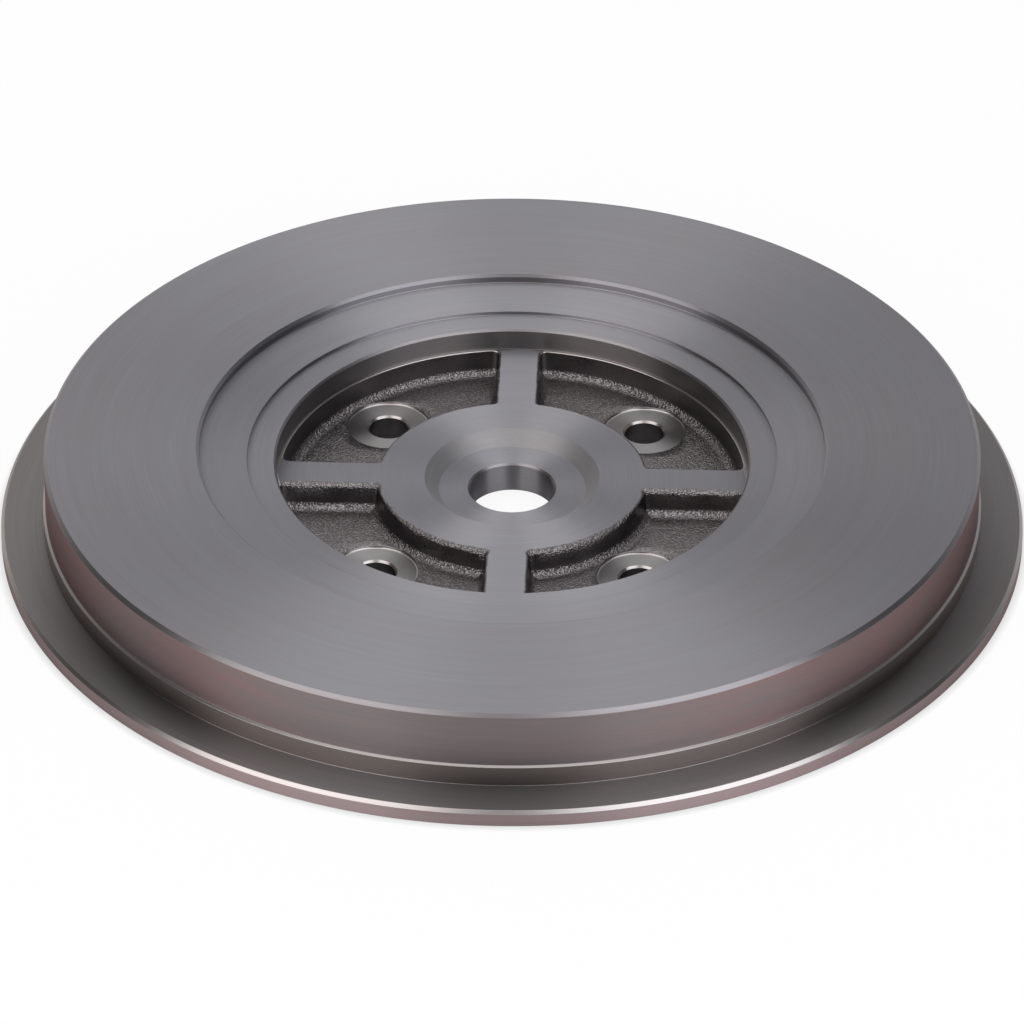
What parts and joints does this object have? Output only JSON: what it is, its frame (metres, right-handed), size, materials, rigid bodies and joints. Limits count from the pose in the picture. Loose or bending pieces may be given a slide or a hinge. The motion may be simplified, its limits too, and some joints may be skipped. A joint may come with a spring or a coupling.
{
  "type": "turbo back plate",
  "caption": "Round cast back plate of a turbocharger's compressor: flanged drum with a stepped wheel recess, spoked hub with shaft bore, pockets with screw holes.",
  "frame": {"origin": "on the shaft axis, in the plane of the underside that the plate rests on", "axes": "+Z along the shaft axis, out of the front face with the wheel recess; +X and +Y along two spokes of the hub"},
  "size_m": [0.22, 0.22, 0.0207],
  "materials": {
    "grey_iron": "bare grey iron, turned on its front, rims and mating faces, left as cast in the pockets and in the rear relief"
  },
  "bodies": {
    "root": {"back_plate": "grey_iron"}
  },
  "joints": []
}
